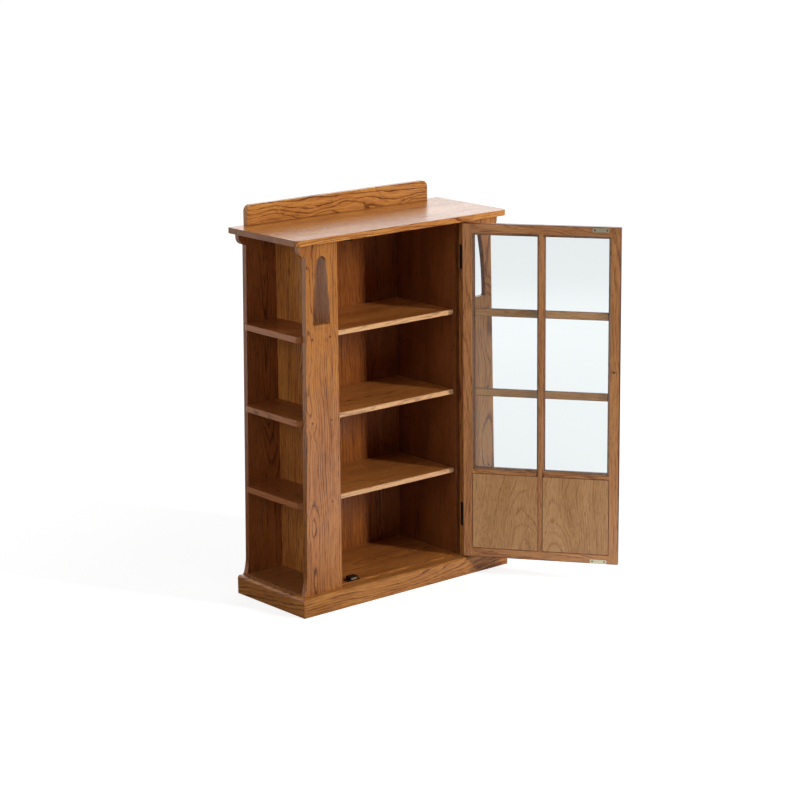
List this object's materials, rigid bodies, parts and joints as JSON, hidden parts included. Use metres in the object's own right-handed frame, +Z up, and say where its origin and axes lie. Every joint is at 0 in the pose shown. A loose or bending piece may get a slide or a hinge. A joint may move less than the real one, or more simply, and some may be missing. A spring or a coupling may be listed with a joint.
{
  "type": "display cabinet",
  "caption": "Display cabinet in stained oak: a middle case behind a hinged door with glazed rows over wood panels, open shelved bays at both sides, on a moulded plinth.",
  "frame": {"origin": "middle of the rectangular footprint, on the floor", "axes": "+Z up, front (door side) faces -Y, +X to the right seen from the front, +Y to the back"},
  "size_m": [0.9661, 0.7251, 1.2125],
  "materials": {
    "oak_case": "oak, honey stain under satin lacquer",
    "oak_plinth": "oak, honey stain under satin lacquer, worn to a light gloss on the round-over",
    "oak_door": "oak, honey stain under satin lacquer",
    "oak_inside": "oak, honey stain, thinner lacquer inside the case",
    "oak_plugs": "oak end-grain plugs, stained darker than the boards",
    "glass": "clear float glass, 3 mm",
    "black_steel": "blackened steel, low sheen",
    "nickel_steel": "nickel-plated steel",
    "zinc_steel": "zinc-plated steel screws",
    "catch_steel": "dark pressed steel catch housing"
  },
  "bodies": {
    "case": {"plinth_front": "oak_plinth", "plinth_left": "oak_plinth", "plinth_right": "oak_plinth", "plinth_back": "oak_plinth", "plinth_bearer": "oak_plinth", "bottom_board": "oak_inside", "top_board": "oak_case", "backsplash": "oak_case", "front_board_left": "oak_case", "front_board_right": "oak_case", "back_board_left": "oak_case", "back_board_right": "oak_case", "partition_left": "oak_inside", "partition_right": "oak_inside", "back_panel": "oak_inside", "side_shelf_left_lower": "oak_case", "side_shelf_left_middle": "oak_case", "side_shelf_left_upper": "oak_case", "side_shelf_right_lower": "oak_case", "side_shelf_right_middle": "oak_case", "side_shelf_right_upper": "oak_case", "inner_shelf_lower": "oak_inside", "inner_shelf_middle": "oak_inside", "inner_shelf_upper": "oak_inside", "shelf_pins": "nickel_steel", "plugs": "oak_plugs", "shelf_screws": "zinc_steel", "hinge_leaf_case_upper": "black_steel", "hinge_leaf_case_lower": "black_steel", "hinge_pins": "black_steel", "hinge_screws_case": "black_steel", "catch_housings": "catch_steel", "catch_magnets": "nickel_steel", "catch_screws": "nickel_steel"},
    "door": {"door_stile_hinge": "oak_door", "door_stile_free": "oak_door", "door_rail_top": "oak_door", "door_rail_middle": "oak_door", "door_rail_bottom": "oak_door", "door_mullion": "oak_door", "muntin_upper_left": "oak_door", "muntin_upper_right": "oak_door", "muntin_lower_left": "oak_door", "muntin_lower_right": "oak_door", "glass_left": "glass", "glass_right": "glass", "panel_left": "oak_door", "panel_right": "oak_door", "hinge_leaf_door_upper": "black_steel", "hinge_leaf_door_lower": "black_steel", "hinge_screws_door": "black_steel", "strike_plates": "nickel_steel", "strike_screws": "nickel_steel", "knob": "oak_door", "knob_screw": "zinc_steel"}
  },
  "joints": [
    {"name": "door_hinge", "type": "hinge", "parent": "case", "child": "door", "pos_m": [0.24605, -0.1485, 0.6], "axis": [0, 0, 1], "range_deg": [-126.5, 48.5]}
  ]
}
